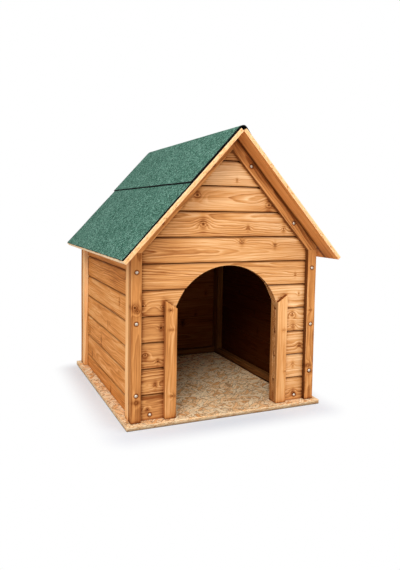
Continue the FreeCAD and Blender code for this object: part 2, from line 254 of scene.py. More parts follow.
def piece(name, parts, materials, nodes, choose=None):
    """Joins the solids into one mesh object, which stands for the CAD nodes and rides on root."""
    start = np.cumsum([0] + [len(part["points"]) for part in parts])
    faces = []
    for part, offset in zip(parts, start):
        faces += (part["quads"] + offset).tolist()
        faces += [(cap + offset).tolist() for cap in part["caps"]]
    mesh = bpy.data.meshes.new(name)
    mesh.from_pydata(np.concatenate([part["points"] for part in parts]), [], faces)
    for key in parts[0]:
        if key in ("points", "quads", "caps"):
            continue
        data = np.concatenate([part[key] for part in parts]).astype(np.float32)
        kind, field = ("FLOAT_VECTOR", "vector") if data.ndim == 2 else ("FLOAT", "value")
        mesh.attributes.new(key, kind, "POINT").data.foreach_set(field, data.ravel())
    tidy_mesh(mesh)
    for material in materials:
        mesh.materials.append(material)
    if choose is not None:
        kinds = choose(face_data(mesh, "normal"), face_data(mesh, "center"))
        mesh.polygons.foreach_set("material_index", kinds.astype(np.int32))
    mesh.polygons.foreach_set("use_smooth", np.ones(len(mesh.polygons), bool))
    mesh.set_sharp_from_angle(angle=math.radians(38))
    made = stand(name, mesh)
    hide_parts(*nodes)
    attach(made, "root")


def tidy_mesh(mesh):
    """Merges points that fell on each other, drops faces without area, and turns faces outwards."""
    bm = bmesh.new()
    bm.from_mesh(mesh)
    bmesh.ops.remove_doubles(bm, verts=bm.verts, dist=MERGE)
    bmesh.ops.dissolve_degenerate(bm, edges=bm.edges, dist=MERGE / 2)
    bmesh.ops.recalc_face_normals(bm, faces=bm.faces)
    bm.to_mesh(mesh)
    bm.free()


# ======== materials
def colour(hex_value):
    """sRGB hex to linear: c/12.92 below 0.04045, else ((c+0.055)/1.055)^2.4."""
    c = np.array([int(hex_value[i:i + 2], 16) for i in (1, 3, 5)]) / 255
    linear = np.where(c <= 0.04045, c / 12.92, ((c + 0.055) / 1.055) ** 2.4)
    return (*linear.tolist(), 1.0)


def add_node(tree, kind, inputs=None, **settings):
    """Adds one node. A value in 'inputs' is set, a socket or node there is linked."""
    made = tree.nodes.new("ShaderNode" + kind)
    for key, value in settings.items():
        setattr(made, key, value)
    for key, value in (inputs or {}).items():
        if isinstance(value, bpy.types.Node):
            value = value.outputs[0]
        if isinstance(value, bpy.types.NodeSocket):
            tree.links.new(value, made.inputs[key])
        else:
            made.inputs[key].default_value = value
    return made


def finish(name, build, *shades, **look):
    """A material whose nodes build(add, ...) adds to its empty tree."""
    material = bpy.data.materials.new(name)
    material.use_nodes = True
    material.node_tree.nodes.clear()
    build(partial(add_node, material.node_tree), *shades, **look)
    return material


def ramp(add, fac, stops):
    """Colours, or numbers, over any range of values: the range is brought to 0 to 1 first."""
    low, high = stops[0][0], stops[-1][0]
    even = add("MapRange", {"Value": fac, "From Min": low, "From Max": high})
    made = add("ValToRGB", {"Fac": even})
    elements = made.color_ramp.elements
    while len(elements) < len(stops):
        elements.new(0.5)
    for element, (place, value) in zip(elements, stops):
        element.position = (place - low) / (high - low)
        element.color = colour(value) if isinstance(value, str) else (value, value, value, 1)
    return made


def weighed(add, total, *marks):
    """total + the sum of value times gain over the marks, each of them (value, gain)."""
    for value, gain in marks:
        total = add("Math", {0: value, 1: gain, 2: total}, operation="MULTIPLY_ADD")
    return total


def bell(add, value, middle, width):
    """exp(-((value - middle) / width)^2)"""
    away = add("Math", {0: value, 1: -middle}, operation="ADD")
    away = add("Math", {0: away, 1: width}, operation="DIVIDE")
    square = add("Math", {0: away, 1: away}, operation="MULTIPLY")
    return add("Math", {0: math.exp(-1), 1: square}, operation="POWER")


def pattern(add, place, scale, detail=None):
    """Noise whose waves are 1 / scale long on each axis, or, without a detail, cells of that size."""
    place = add("VectorMath", {0: place, 1: scale}, operation="MULTIPLY")
    if detail is None:
        return add("TexVoronoi", {"Vector": place, "Scale": 1.0}, feature="F1")
    return add("TexNoise", {"Vector": place, "Scale": 1.0, "Detail": detail})


def beside(add, reach):
    """Painted shade: exp(-gap / reach), 1 where another piece covers this one, and less further from it."""
    gap = add("Attribute", attribute_name="gap").outputs["Fac"]
    gap = add("Math", {0: gap, 1: -1 / reach}, operation="MULTIPLY")
    return add("Math", {0: gap}, operation="EXPONENT")


def coat(add, skin, height, strength, depth, rough, gloss=None):
    """The finished surface: colour, relief of its marks, and how it takes the light. 'gloss' is how
    strongly wood, stone or bitumen reflects, all of IOR 1.5. Without it the surface is bare metal."""
    bump = add("Bump", {"Height": height, "Strength": strength, "Distance": depth})
    look = {"Metallic": 1.0} if gloss is None else {"IOR": 1.5, "Specular IOR Level": gloss}
    body = add("BsdfPrincipled", {"Base Color": skin, "Normal": bump, "Roughness": rough, **look})
    add("OutputMaterial", {0: body})


def knot(add, grain, mark, ripple, speck):
    """One knot. q is the distance from its middle in knot radii, shortened along the stem. The
    rings bulge round it, and it has fine rings, a thin broken rim, a dark pith and a soft dark halo
    across the board. Gives the bulge, its darkness, and 1 where the board has such a knot."""
    place = add("Attribute", attribute_name=mark).outputs["Vector"]
    size = add("SeparateXYZ", {0: place}).outputs[2]
    size = add("Math", {0: size, 1: 0.0001}, operation="MAXIMUM")
    off = add("VectorMath", {0: grain, 1: place}, operation="SUBTRACT")

    def radii(stretch, unevenness, gain):
        away = add("VectorMath", {0: off, 1: stretch}, operation="MULTIPLY")
        away = add("VectorMath", {0: away}, operation="LENGTH").outputs["Value"]
        return add("Math", {0: weighed(add, away, (unevenness, gain)), 1: size}, operation="DIVIDE")

    q, tall = radii((0.80, 1.0, 0.0), ripple, 0.012), radii((0.9, 0.42, 0.0), speck, 0.006)
    bulge = add("Math", {0: bell(add, q, 0.0, 2.1), 1: size}, operation="MULTIPLY")
    fine = add("Math", {0: q, 1: 9.0}, operation="MULTIPLY")
    fine = add("Math", {0: fine}, operation="SINE")
    fine = add("Math", {0: fine, 1: bell(add, q, 0.3, 0.8)}, operation="MULTIPLY")
    rim = add("Math", {0: bell(add, q, 1.0, 0.25), 1: weighed(add, 0.4, (speck, 3.0))},
              operation="MULTIPLY")
    dark = weighed(add, 0.0, (fine, 0.07), (rim, 0.36), (bell(add, q, 0.0, 0.3), 0.55),
                   (bell(add, tall, 0.0, 1.1), 0.36), (bell(add, q, 0.6, 0.25), -0.12))
    return bulge, dark, add("Math", {0: size, 1: 0.001}, operation="GREATER_THAN")


def stained_pine(add, pale, mid, deep, contrast=1.0, soak=0.7, inside="#6E5440"):
    """Planed softwood under a translucent orange-brown stain. Growth rings are cylinders round the
    stem's heart, so a face shows arches and long lines and an end shows arcs. Rings are drawn
    7.5 mm apart, two or three real ones in one, because finer ones don't show in the picture.
    All marks are added up as one darkness, which then picks the colour of the stain."""
    grain, tone, stem, *spots = (add("Attribute", attribute_name=key).outputs["Vector"]
                                 for key in ("grain", "tone", "stem", "screw_a", "screw_b", "screw_c"))
    worn, pooled, inner = (add("Attribute", attribute_name=key).outputs["Fac"]
                           for key in ("wear", "pooled", "inner"))
    level, _, taper = add("SeparateXYZ", {0: tone}).outputs
    axes = add("SeparateXYZ", {0: grain})

    def uneven(along, across, detail):
        """Noise in grain coordinates, from -0.5 to 0.5."""
        made = pattern(add, grain, (along, across, across), detail)
        return add("Math", {0: made, 1: -0.5}, operation="ADD")

    across = add("CombineXYZ", {1: axes.outputs[1], 2: axes.outputs[2]})
    radius = add("VectorMath", {0: across}, operation="LENGTH").outputs["Value"]
    sway, ripple, speck = uneven(3.0, 16.0, 2.0), uneven(14.0, 70.0, 2.0), uneven(60.0, 160.0, 3.0)
    radius = weighed(add, radius, (axes.outputs[0], taper), (sway, 0.030), (ripple, 0.006))
    knots = 0.0
    for mark in ("knot_a", "knot_b", "knot_c"):
        bulge, knot_dark, shown = knot(add, grain, mark, ripple, speck)
        radius = weighed(add, radius, (bulge, 1.5))
        knots = weighed(add, knots, (knot_dark, shown))
    # late wood is a dark line at the end of each ring, early wood a pale one at its start, and
    # each ring has its own strength
    phase = add("Math", {0: radius, 1: RING}, operation="DIVIDE")
    turn = add("Math", {0: phase}, operation="FRACT")
    number = add("Math", {0: phase}, operation="FLOOR")
    chance = add("TexWhiteNoise", {"W": number}, noise_dimensions="1D").outputs["Value"]
    strength = add("MapRange", {"Value": chance, "To Min": 0.15, "To Max": 1.0})
    late = ramp(add, turn, [(0.0, 0.12), (0.12, 0.0), (0.5, 0.22), (0.84, 1.0), (0.94, 0.7), (1.0, 0.12)])
    late = add("Math", {0: late, 1: strength}, operation="MULTIPLY")
    early = ramp(add, turn, [(0.0, 0.7), (0.1, 1.0), (0.4, 0.0), (0.96, 0.0), (1.0, 0.7)])
    early = add("Math", {0: early, 1: strength}, operation="MULTIPLY")
    fibre, cloud, patch = uneven(5.0, 330.0, 3.0), uneven(3.0, 22.0, 3.0), uneven(5.0, 90.0, 2.0)
    dark = weighed(add, 0.41, (late, 0.34 * contrast), (fibre, 0.8), (cloud, 0.75), (patch, 0.4),
                   (early, -0.20 * contrast), (knots, 0.95), (level, 1.0))
    # arrises are painted lighter as a painted highlight, and end grain drinks more stain
    facing = add("VectorMath", {0: add("TexCoord").outputs["Normal"], 1: stem},
                 operation="DOT_PRODUCT").outputs["Value"]
    facing = add("Math", {0: facing}, operation="ABSOLUTE")
    ends = add("MapRange", {"Value": facing, "From Min": 0.5, "From Max": 0.65})
    # the head of a screw, 6 mm in radius, has crushed the wood and the stain round it
    place = add("TexCoord").outputs["Object"]
    head = 1.0
    for spot in spots:
        away = add("VectorMath", {0: place, 1: spot}, operation="DISTANCE").outputs["Value"]
        head = add("Math", {0: head, 1: away}, operation="MINIMUM")
    # painted shade where another piece covers or meets this one, as under a rafter or beside a post
    dark = weighed(add, dark, (worn, -0.14), (ends, soak), (beside(add, 0.006), 0.75),
                   (bell(add, head, 0.0075, 0.0026), 0.5))
    wood = ramp(add, dark, [(0.0, pale), (0.5, mid), (0.95, deep), (1.6, "#3A1A08")])
    # painted shade in the joints, partly stain gathered there: these faces go toward dark brown
    skin = add("Mix", {0: pooled, 6: wood, 7: colour("#521D04")}, data_type="RGBA")
    # painted shade: the faces marked 'inner', inside the walls, on a jamb, on a post's side in the recess and
    # under a rafter, are multiplied by the 'inside' colour
    skin = add("Mix", {0: inner, 6: skin.outputs[2], 7: colour(inside)}, data_type="RGBA",
               blend_type="MULTIPLY")
    rough = add("MapRange", {"Value": dark, "To Min": 0.66, "To Max": 0.52})
    coat(add, skin.outputs[2], weighed(add, late, (fibre, 0.8)), 0.3, 0.0005, rough, gloss=0.015)


def strand_board(add, pale, mid, deep):
    """Pressed flakes of softwood in resin: four lays of flakes 60 by 12 mm, each flake with its own
    tone, the one with the highest chance on top, thin dark gaps between them. On the edges the same
    flakes show as layers about 2.5 mm thick, which is coarser than real ones, so that they show."""
    grain = add("Attribute", attribute_name="grain").outputs["Vector"]
    best, shade, gap = None, None, None
    for n, angle in enumerate((0.15, 1.25, -0.55, 2.2)):
        turned = add("VectorRotate", {"Vector": grain, "Angle": angle}, rotation_type="Z_AXIS")
        moved = add("VectorMath", {0: turned, 1: (16.0, 80.0, 400.0), 2: (7.3 * n, 3.1 * n, 11.7 * n)},
                    operation="MULTIPLY_ADD")
        flake = add("TexVoronoi", {"Vector": moved, "Scale": 1.0}, feature="F1").outputs["Color"]
        chance, own, _ = add("SeparateColor", {0: flake}).outputs
        border = add("TexVoronoi", {"Vector": moved, "Scale": 1.0},
                     feature="DISTANCE_TO_EDGE").outputs["Distance"]
        own = weighed(add, own, (pattern(add, turned, (30.0, 500.0, 500.0), 2.0), 0.45))
        if best is None:
            best, shade, gap = chance, own, border
            continue
        on_top = add("Math", {0: chance, 1: best}, operation="GREATER_THAN")
        best = add("Math", {0: chance, 1: best}, operation="MAXIMUM")
        shade = add("Mix", {0: on_top, 2: shade, 3: own})
        gap = add("Mix", {0: on_top, 2: gap, 3: border})
    wood = ramp(add, shade, [(0.2, deep), (0.55, mid), (1.05, pale)])
    crack = add("MapRange", {"Value": gap, "From Max": 0.10, "To Min": 0.75, "To Max": 0.0})
    skin = add("Mix", {0: crack, 6: wood, 7: colour("#6E3A14")}, data_type="RGBA")
    # painted shade along the foot of the board, where it stands on the ground
    damp = add("Attribute", attribute_name="damp").outputs["Fac"]
    skin = add("Mix", {0: damp, 6: skin.outputs[2], 7: colour("#3C2A1A")}, data_type="RGBA")
    height = add("Math", {0: best, 1: gap}, operation="ADD")
    coat(add, skin.outputs[2], height, 0.5, 0.0012, rough=0.8, gloss=0.05)


def soffit_stain(add):
    """The stained underside of the roof panels: a broad brush left long streaks down the slope.
    Near the gable walls it is painted darker, as shade.
    """
    grain = add("Attribute", attribute_name="grain").outputs["Vector"]
    mixed = weighed(add, pattern(add, grain, (28.0, 2.2, 20.0), 3.0),
                    (pattern(add, grain, (170.0, 5.0, 50.0), 4.0), 0.5), (beside(add, 0.010), -0.55))
    skin = ramp(add, mixed, [(0.1, "#3A1A08"), (0.5, "#9C5C2A"), (0.75, "#D5904F"), (1.05, "#ECAF6D")])
    coat(add, skin, mixed, 0.3, 0.0008, rough=0.6, gloss=0.1)


def mineral_felt(add):
    """Bitumen felt under crushed green slate. Each granule has its own tone; they are drawn 4 mm
    wide instead of 1 to 2 mm, because finer ones melt into one flat green in the picture."""
    place = add("TexCoord").outputs["Object"]
    grit = add("TexVoronoi", {"Vector": place, "Scale": 260.0}, feature="F1")
    tone = add("SeparateColor", {0: grit.outputs["Color"]})
    patch = add("TexNoise", {"Vector": place, "Scale": 55.0, "Detail": 3.0})
    broad = add("TexNoise", {"Vector": place, "Scale": 6.0, "Detail": 2.0})
    mixed = weighed(add, -0.15, (tone, 1.3), (patch, 0.7), (broad, 0.3))
    skin = ramp(add, mixed, [(0.45, "#1C4437"), (0.85, "#34604F"), (1.25, "#4E7F6D"), (1.6, "#86B0A0")])
    height = add("Math", {0: grit.outputs["Distance"], 1: -1.0}, operation="MULTIPLY")
    coat(add, skin, height, 0.5, 0.0015, rough=0.95, gloss=0.2)


def bitumen(add):
    """The felt's cut edge and back: black bitumen with a dull sheen and a little sand in it."""
    place = add("TexCoord").outputs["Object"]
    sand = add("TexNoise", {"Vector": place, "Scale": 420.0, "Detail": 2.0})
    skin = ramp(add, sand, [(0.35, "#060606"), (0.75, "#161718")])
    coat(add, skin, sand, 0.4, 0.0008, rough=0.9, gloss=0.05)


def zinc_plate(add):
    """Bright zinc plating on pressed screw heads: silver grey, tinted warm as a painted reflection
    of the stained wood round it, brushed lightly by the driver.
    """
    place = add("TexCoord").outputs["Object"]
    scuff = add("TexNoise", {"Vector": place, "Scale": 900.0, "Detail": 3.0})
    skin = ramp(add, scuff, [(0.3, "#B4AA9C"), (0.6, "#E2D8C8")])
    rough = add("MapRange", {"Value": scuff, "To Min": 0.45, "To Max": 0.65})
    coat(add, skin, scuff, 0.15, 0.0002, rough=rough)


def sawn_edge(add, deep, mid, pale):
    """Cut edge of strand board: pale orange with a paler outer layer under the felt, and short
    brown flecks where flakes end."""
    grain = add("Attribute", attribute_name="grain").outputs["Vector"]
    out = add("SeparateXYZ", {0: grain}).outputs[2]
    lay = pattern(add, grain, (60.0, 60.0, 330.0), 3.0)
    fleck = pattern(add, grain, (150.0, 150.0, 300.0)).outputs["Color"]
    chance = add("SeparateColor", {0: fleck})
    rare = add("MapRange", {"Value": chance, "From Min": 0.88, "From Max": 0.96})
    layer = add("MapRange", {"Value": out, "From Min": 0.70 * PANEL, "From Max": 0.85 * PANEL,
                             "To Max": 0.2})
    mixed = weighed(add, lay, (rare, -0.35), (layer, 1.0))
    skin = ramp(add, mixed, [(0.0, deep), (0.35, mid), (0.75, pale)])
    coat(add, skin, mixed, 0.5, 0.001, rough=0.75, gloss=0.2)


# 'inside' is the colour of the painted shade that is multiplied into the faces marked 'inner'
BOARDS = finish("stained_pine_boards", stained_pine, "#F6CA98", "#D19357", "#8E5027",
                soak=0.3, inside="#8A6A50")
SIDE_BOARDS = finish("deeper_stained_pine_side_boards", stained_pine, "#FBC587", "#DA8E48", "#96501E",
                     contrast=0.7, inside="#50392A")
BATTENS = finish("stained_pine_battens", stained_pine, "#F0BA80", "#CD8B4E", "#874B22", contrast=0.7)
LIGHT_BATTENS = finish("pale_stained_pine_posts", stained_pine, "#FFD19A", "#EDAC6C", "#A9682C",
                       contrast=0.7)
# the framing inside the house: a darker copy of the stain, as painted shade
INNER = finish("stained_pine_inside", stained_pine, "#94622F", "#6B4020", "#3E2310")
STRANDS = finish("raw_strand_board", strand_board, "#FFE2B8", "#FFD29C", "#DE9A5A")
EDGE = finish("sawn_strand_edge", sawn_edge, "#A06A36", "#EDAD70", "#FCD2A0")
# a paler copy of the edge for the eave's edge, which faces down the slope: painted light
PALE_EDGE = finish("pale_sawn_eave_edge", sawn_edge, "#C89A66", "#F2D3A4", "#FFEBCB")
SOFFIT = finish("brushed_stain_soffit", soffit_stain)
GRANULES = finish("green_mineral_granules", mineral_felt)
TAR = finish("black_bitumen", bitumen)
ZINC = finish("bright_zinc_plate", zinc_plate)


# ======== the camera and the light
PICTURE_HIGH, FOCAL, CENTRE_ROW = 570, 549.6, 249.9         # in pixels of the photograph
HOUSE_MIDDLE = (0, 0, 0.5)
FLOOR_PLAY = 0.0005                     # the floor lies this far under the base board
FADE = 0.14                             # its shadow fades out within this distance
SHADOW_MOVE = (0.02, 0.06, 0)


def camera():
    """Stands where the photograph was taken from: fitted to forty points of the picture."""
    yaw, down, roll = (math.radians(a) for a in (23.44, 4.03, 0.89))
    place = Vector((-0.960, -2.366, 0.807))
    turn = Matrix.Rotation(-yaw, 4, "Z") @ Matrix.Rotation(math.pi / 2 - down, 4, "X")
    data = bpy.data.cameras.new("camera")
    data.sensor_width = 36.0
    data.lens = FOCAL * data.sensor_width / PICTURE_HIGH
    data.shift_y = (CENTRE_ROW - PICTURE_HIGH / 2) / PICTURE_HIGH
    made = stand("camera", data)
    made.matrix_world = Matrix.Translation(place) @ turn @ Matrix.Rotation(roll, 4, "Z")
    bpy.context.scene.camera = made


def lamp(name, place, size, power):
    """A round soft lamp that looks at the middle of the house."""
    data = bpy.data.lights.new(name, "AREA")
    data.shape = "DISK"
    data.size = size
    data.energy = power
    made = stand(name, data)
    made.location = place
    made.rotation_mode = "QUATERNION"
    made.rotation_quaternion = (Vector(place) - Vector(HOUSE_MIDDLE)).to_track_quat("Z", "Y")


def showing(add):
    """1 for the rays that show the background: from the camera, off gloss and through glass."""
    rays = add("LightPath").outputs
    seen = add("Math", {0: rays["Is Camera Ray"], 1: rays["Is Glossy Ray"]}, operation="MAXIMUM")
    return add("Math", {0: seen, 1: rays["Is Transmission Ray"]}, operation="MAXIMUM")


def white_world():
    """White where it shows, and 0.55 as bright as a light on the house."""
    world = bpy.data.worlds.new("studio")
    bpy.context.scene.world = world
    world.use_nodes = True
    world.node_tree.nodes.clear()
    add = partial(add_node, world.node_tree)
    strength = add("MapRange", {"Value": showing(add), "To Min": 0.55, "To Max": 1.0})
    sky = add("Background", {"Color": (1, 1, 1, 1), "Strength": strength})
    add("OutputWorld", {0: sky})


def shadow_paper(add):
    """Matt paper that takes the shadow. It shows lighter than it is, and goes over to the white of
    the world within FADE of a patch as large as the house, moved 20 mm to the left of it and
    60 mm to the front, where the shadow lies."""
    away = add("TexCoord").outputs["Object"]
    for operation, value in (("ADD", SHADOW_MOVE), ("ABSOLUTE", (0, 0, 0)),
                             ("SUBTRACT", (WALL_X, WALL_Y, 0)), ("MAXIMUM", (0, 0, 0))):
        away = add("VectorMath", {0: away, 1: value}, operation=operation)
    away = add("VectorMath", {0: away}, operation="LENGTH").outputs["Value"]
    fade = add("MapRange", {"Value": away, "From Max": FADE}, interpolation_type="SMOOTHSTEP")
    seen = showing(add)
    fade = add("Math", {0: fade, 1: seen}, operation="MULTIPLY")
    shade = add("Mix", {0: seen, 6: colour("#F4F3F3"), 7: colour("#D5DAE2")}, data_type="RGBA")
    paper = add("BsdfDiffuse", {"Color": shade.outputs[2]})
    lift = add("Math", {0: seen, 1: 0.15}, operation="MULTIPLY")
    lift = add("Emission", {"Color": (1, 1, 1, 1), "Strength": lift})
    paper = add("AddShader", {0: paper, 1: lift})
    glow = add("Emission", {"Color": (1, 1, 1, 1), "Strength": 1.0})
    add("OutputMaterial", {0: add("MixShader", {0: fade, 1: paper, 2: glow})})


def white_floor():
    far = 14.0
    mesh = bpy.data.meshes.new("floor")
    mesh.from_pydata([(-far, -far, 0), (far, -far, 0), (far, far, 0), (-far, far, 0)], [], [(0, 1, 2, 3)])
    mesh.materials.append(finish("white_floor", shadow_paper))
    floor = stand("floor", mesh)
    floor.location.z = -FLOOR_PLAY


camera()
white_world()
white_floor()
bpy.context.scene.view_settings.view_transform = "Standard"
lamp("key", place=(-2.2, -3.6, 3.6), size=2.6, power=165)
lamp("fill", place=(3.0, -2.2, 1.6), size=2.4, power=40)


# ======== walls
def scoop():
    """Arc of the hollow under a joint, as (depth, drop below the joint): a circle that leaves the
    board's face level with it and ends at the tongue."""
    radius = (TONGUE ** 2 + SCOOP_HIGH ** 2) / (2 * TONGUE)
    q = np.linspace(0, math.asin(SCOOP_HIGH / radius), 7)
    return np.stack([radius * (1 - np.cos(q)), SCOOP_HIGH - radius * np.sin(q)], 1)


def board_corners(low, high, first):
    """Shiplap section as (depth from the face, height)."""
    curve = [(d, high - drop) for d, drop in scoop()]
    top = high + TONGUE_HIGH
    if first:
        back = [(BOARD, low)]
    else:
        rebate = low + TONGUE_HIGH + PLAY
        back = [(BOARD, rebate), (TONGUE - PLAY, rebate), (TONGUE - PLAY, low)]
    return [(0, low)] + curve + [(TONGUE, top), (BOARD, top)] + back


def pool(low):
    """Painted shade in the joint, partly stain that gathers there: 1 at the bottom of the hollow and
    under the board's edge, 0 on its face. In the hollow it grows with depth d as (d / 7 mm)^0.8,
    and near a post, where the hollow's end is painted in deep shade, at the distance g, it is
    exp(-g / 10 mm)."""
    def shape(section, near):
        depth, z = section[:, 0], section[:, 1]
        hollow = np.maximum(np.clip(depth / 0.007, 0, 1) ** 0.8, (depth > 0.0004) * np.exp(-near / 0.010))
        under = (z < low + 0.0002) * np.clip(depth / EASE, 0.45, 1)
        return np.maximum(hollow * (z > low + 0.002), under) * (depth < TONGUE + 0.0005)
    return shape


def above(low, gap):
    """The least distance from what covers the board, and from its own bottom edge."""
    return lambda p: np.minimum(gap(p), 2.0 * np.maximum(p[:, 2] - low, 0))


def front_gap(p):
    """How far a point of a gable wall lies from the posts, rafters or door battens over it. The
    boards' cut ends in the doorway are left out."""
    x, z = np.abs(p[:, 0]), p[:, 2]
    rafter = (RIDGE_Z - RAFTER_DROP - x * FALL - z) * math.cos(PITCH)
    head = DOOR_FOOT + DOOR_DROP * np.clip((x - DOOR) / DOOR_BATTEN, 0, 1)
    over = np.maximum(z - head, 0) * math.cos(math.atan2(DOOR_DROP, DOOR_BATTEN))
    door = np.hypot(np.maximum(x - DOOR_EDGE, 0), over)
    door = np.where((p[:, 1] < 0) & (x > DOOR + 0.002), door, 1.0)
    return np.clip(np.minimum(np.minimum(POST_IN_X - x, rafter), door), 0, 1)


def side_gap(p):
    """How far a point of a side wall lies from its posts and from the roof over it."""
    return np.clip(np.minimum(SIDE_POST_Y - np.abs(p[:, 1]), roof_height(BOARD_X) - p[:, 2]), 0, 1)


def gable_half(points):
    """Half the width of a gable wall at each point's height: the post, or the roof above it."""
    return np.clip((RIDGE_Z - ROOF_PLAY - points[:, 1]) / FALL, 0.0005, POST_IN_X - SHORT)


def door_half(points):
    """Half the doorway's width at each point's height: straight, then the arch's circle."""
    rise = np.clip(points[:, 1], DOOR_FOOT, DOOR_TOP) - ARCH_Z
    return np.sqrt(np.maximum(ARCH_R ** 2 - rise ** 2, 0))


def moved_to(p, z):
    """The same points at the heights z."""
    return np.concatenate([p[..., :2], z[..., None]], -1)


def under_arch(p):
    """Lifts what hangs in the doorway up to the arch: z is at least the circle's height at x."""
    reach = np.maximum(ARCH_R ** 2 - p[..., 0] ** 2, 0)
    arch = np.where(np.abs(p[..., 0]) < DOOR, ARCH_Z + np.sqrt(reach), 0)
    return moved_to(p, np.maximum(p[..., 2], arch))


def roof_height(x):
    return RIDGE_Z - np.abs(x) * FALL


def under_roof(p):
    """Cuts what stands above the roof's underside down to it."""
    return moved_to(p, np.minimum(p[..., 2], roof_height(p[..., 0]) - ROOF_PLAY))


def behind(axis, face):
    """1 on the part of a wall more than 0.6 of a board behind its outer face, whose inside is
    painted in shade.
    """
    return lambda p: (np.abs(p[:, axis]) < face - 0.6 * BOARD).astype(float)


def foot_screws(row, y):
    return [(side * FOOT_SCREW[0], y, FOOT_SCREW[1]) for side in (-1, 1)] if row == 1 else ()


def plank(row, low, high, start, end, to_xyz, along, seed, gap, pitch=STEP, **more):
    """One shiplap board: row 1 stands on the base board and has no rebate."""
    loop = outline(board_corners(low, high, row == 1), EASE, 0.014)
    return timber(stick(loop, start, end, SAWN_EASE, pitch), to_xyz, along, (0, 0, 1), seed,
                  pooled=pool(low), gap=above(low, gap), **more)


# knots of the front boards as (x, z, radius): seen in the photograph, per row from the ground
FRONT_KNOTS = {
    1: [(0.313, 0.052, 0.007), (-0.33, 0.06, 0.005)],
    2: [(0.31, 0.17, 0.006), (-0.30, 0.15, 0.006)],
    3: [(0.339, 0.250, 0.007), (-0.340, 0.269, 0.007), (-0.29, 0.24, 0.005)],
    4: [(0.301, 0.385, 0.008), (0.306, 0.334, 0.008), (-0.279, 0.367, 0.006)],
    5: [(-0.350, 0.454, 0.008), (-0.271, 0.446, 0.007), (0.33, 0.47, 0.004)],
    6: [(0.31, 0.55, 0.004)],
    7: [(0.057, 0.690, 0.0085), (0.209, 0.674, 0.006)],
    8: [(-0.111, 0.759, 0.012), (0.083, 0.743, 0.006), (0.248, 0.741, 0.007)],
    9: [(-0.138, 0.868, 0.011), (-0.193, 0.842, 0.006), (0.176, 0.836, 0.013)],
    10: [(0.03, 0.93, 0.004)],
    11: [],
}
# rows from the ground that are darker, or paler
ROW_TONE = {1: 0.10, 2: -0.04, 3: 0.04, 4: 0.05, 5: -0.05, 6: 0.05, 7: -0.02, 8: -0.05, 9: 0.02,
            10: -0.22, 11: -0.15}
# most rows are paler towards the right: darkness per metre
ROW_LEAN = {1: -0.25, 2: -0.5, 3: -0.2, 4: -0.55, 5: -0.6, 6: -0.15, 7: -0.4}
# where the stem's heart lies from a front board's middle, (across, behind), and its taper
FRONT_HEART = {1: ((0.03, 0.09), 0.01), 6: ((0.035, 0.03), -0.035), 7: ((-0.012, 0.022), 0.045),
               8: ((0.03, 0.05), -0.02), 9: ((0.0, 0.03), -0.04), 10: ((0.02, 0.028), 0.05)}


def front_board(row, low, high):
    """Cut in two by the doorway, cut out for the arch, or whole with its ends under the rafters."""
    heart, taper = FRONT_HEART.get(row, (None, None))

    def cut(start, end, seed=20 + row, **more):
        return plank(row, low, high, start, end, lambda x, depth, z: (x, depth - BOARD_Y, z), (1, 0, 0),
                     seed, front_gap, knots=[(x, -BOARD_Y, z, size) for x, z, size in FRONT_KNOTS[row]],
                     heart=heart, taper=taper, tone=ROW_TONE[row], lean=ROW_LEAN.get(row, 0.0),
                     screws=foot_screws(row, -BOARD_Y), inner=behind(1, BOARD_Y), **more)
    if low < DOOR_FOOT + 0.01:
        return [cut(SHORT - POST_IN_X, lambda q: -door_half(q)),
                cut(door_half, POST_IN_X - SHORT, 60 + row)]
    if low < DOOR_TOP:
        return [cut(SHORT - POST_IN_X, POST_IN_X - SHORT, pitch=0.0045, shape=under_arch)]
    return [cut(lambda q: -gable_half(q), gable_half)]


def scattered(rng, most, reach, low, high, on_face):
    """Up to 'most' knots at random places of a board, which on_face(way, height) puts on its face."""
    count = rng.integers(1, most + 1)
    return [(*on_face(rng.uniform(-reach, reach), rng.uniform(low + 0.01, high - 0.02)),
             rng.uniform(0.004, 0.009)) for _ in range(count)]


def rear_board(row, low, high):
    reach = float(gable_half(np.array([[0, low]]))[0])
    knots = scattered(np.random.default_rng(300 + row), 3, reach, low, high, lambda x, z: (x, BOARD_Y, z))
    return plank(row, low, high, lambda q: -gable_half(q), gable_half,
                 lambda x, depth, z: (x, BOARD_Y - depth, z), (1, 0, 0), 100 + row, front_gap,
                 knots=knots, screws=foot_screws(row, BOARD_Y), inner=behind(1, BOARD_Y))


def side_wall(side):
    """Its lowest board is ripped narrower, and its highest one is cut off under the roof."""
    made = []
    top = EAVE_Z + (RECESS + BOARD) * FALL
    low, high, row = BASE_TOP, BASE_TOP + COVER - SIDE_RIP, 1
    while row == 1 or low + TONGUE_HIGH < top:
        knots = scattered(np.random.default_rng(400 + row + (50 if side > 0 else 0)), 2, SIDE_POST_Y,
                          low, high, lambda y, z: (side * BOARD_X, y, z))
        made.append(plank(row, low, high, SHORT - SIDE_POST_Y, SIDE_POST_Y - SHORT,
                          lambda y, depth, z: (side * (BOARD_X - depth), y, z), (0, 1, 0),
                          200 + row + (30 if side > 0 else 0), side_gap, knots=knots, shape=under_roof,
                          tone=0.05, inner=behind(0, BOARD_X)))
        low, high, row = high, high + COVER, row + 1
    return made


ROW_LIMITS = [(row, BASE_TOP + (row - 1) * COVER, BASE_TOP + row * COVER) for row in range(1, ROWS + 1)]
for limits in ROW_LIMITS:
    piece("front_wall_board_%02d" % limits[0], front_board(*limits), [BOARDS],
          ["front_board_%02d" % limits[0]])
piece("rear_wall_board_set", [rear_board(*limits) for limits in ROW_LIMITS], [BOARDS],
      ["rear_wall_boards"])
piece("left_wall_board_set", side_wall(-1), [SIDE_BOARDS], ["left_wall_boards"])
piece("right_wall_board_set", side_wall(1), [SIDE_BOARDS], ["right_wall_boards"])


